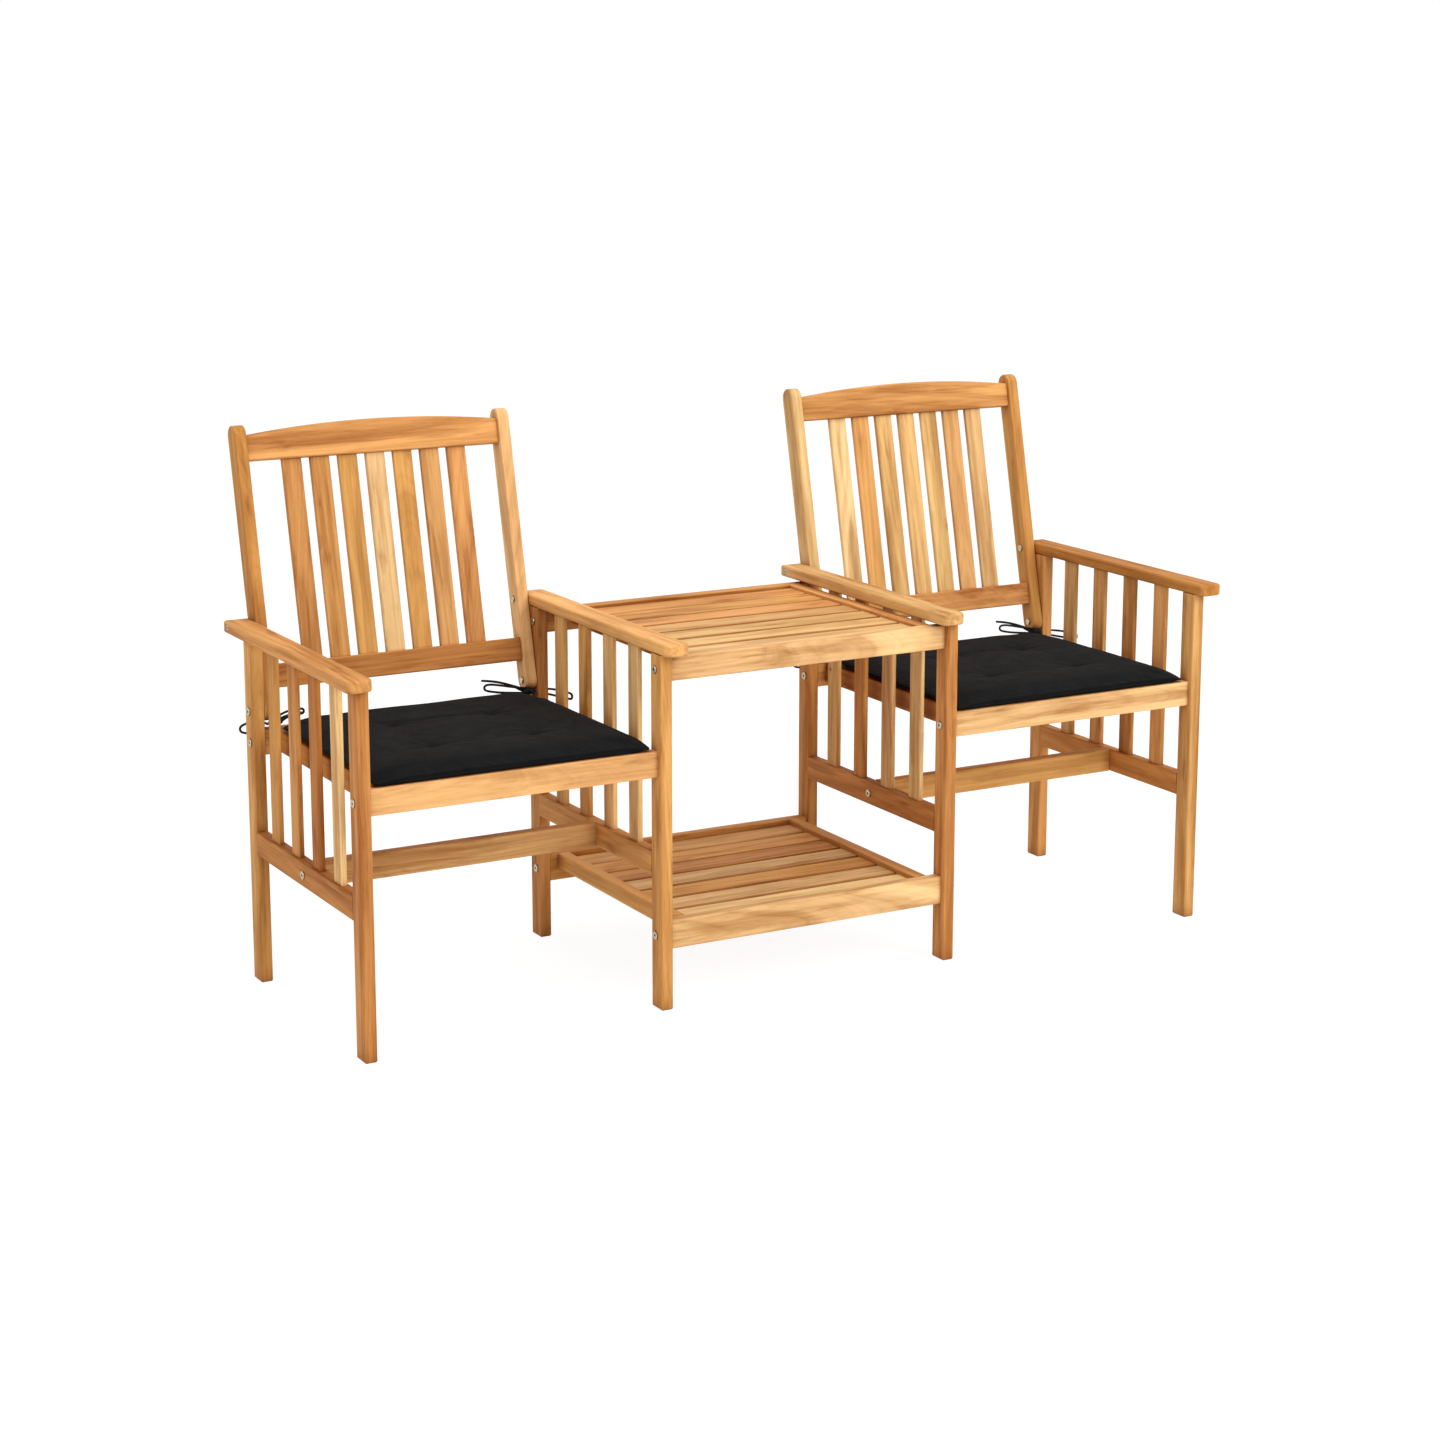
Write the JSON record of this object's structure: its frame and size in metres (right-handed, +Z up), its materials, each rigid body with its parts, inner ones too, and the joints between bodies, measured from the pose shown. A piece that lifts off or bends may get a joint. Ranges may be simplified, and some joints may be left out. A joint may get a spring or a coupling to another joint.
{
  "type": "companion seat bench",
  "caption": "Wooden companion seat: slatted armchairs with reclined backs and tied cushions, joined by a tray-topped table over a lower shelf.",
  "frame": {"origin": "on the floor, below the middle of the bench's bounding box", "axes": "+X along the bench towards a sitter's left, +Y towards its back, +Z up"},
  "size_m": [1.64, 0.6099, 0.92],
  "materials": {
    "pale_wood": "oiled, planed hardwood, straw to honey",
    "honey_wood": "oiled, planed hardwood, honey",
    "brown_wood": "oiled, planed hardwood, red-brown",
    "cushion_fabric": "matte woven polyester, black",
    "tie_cord": "black cord",
    "zinc": "yellow zinc plate"
  },
  "bodies": {
    "root": {"back_bolts": "zinc", "barrel_nuts": "zinc", "cap_nuts": "zinc", "left_back_bottom_rail": "brown_wood", "left_back_crest_rail": "honey_wood", "left_back_inner_post": "honey_wood", "left_back_outer_post": "honey_wood", "left_back_slats": "honey_wood", "left_cushion": "cushion_fabric", "left_inner_armrest": "honey_wood", "left_inner_front_leg": "pale_wood", "left_inner_rear_leg": "honey_wood", "left_inner_side_rail": "brown_wood", "left_inner_side_slats": "honey_wood", "left_inner_tie": "tie_cord", "left_outer_armrest": "honey_wood", "left_outer_front_leg": "brown_wood", "left_outer_rear_leg": "honey_wood", "left_outer_side_rail": "brown_wood", "left_outer_side_slats": "honey_wood", "left_outer_tie": "tie_cord", "left_seat_front_rail": "pale_wood", "left_seat_rear_rail": "brown_wood", "left_seat_side_rails": "brown_wood", "left_seat_slats": "honey_wood", "left_stretcher": "brown_wood", "rail_bolts": "zinc", "right_back_bottom_rail": "brown_wood", "right_back_crest_rail": "honey_wood", "right_back_inner_post": "honey_wood", "right_back_outer_post": "honey_wood", "right_back_slats": "honey_wood", "right_cushion": "cushion_fabric", "right_inner_armrest": "honey_wood", "right_inner_front_leg": "honey_wood", "right_inner_rear_leg": "brown_wood", "right_inner_side_rail": "brown_wood", "right_inner_side_slats": "honey_wood", "right_inner_tie": "tie_cord", "right_outer_armrest": "honey_wood", "right_outer_front_leg": "pale_wood", "right_outer_rear_leg": "brown_wood", "right_outer_side_rail": "brown_wood", "right_outer_side_slats": "honey_wood", "right_outer_tie": "tie_cord", "right_seat_front_rail": "pale_wood", "right_seat_rear_rail": "brown_wood", "right_seat_side_rails": "brown_wood", "right_seat_slats": "honey_wood", "right_stretcher": "brown_wood", "shelf_front_apron": "pale_wood", "shelf_rear_apron": "brown_wood", "shelf_side_rails": "brown_wood", "shelf_slats": "honey_wood", "table_front_apron": "pale_wood", "table_rear_apron": "brown_wood", "table_side_rails": "brown_wood", "table_slats": "pale_wood", "tie_knots": "tie_cord"}
  },
  "joints": []
}
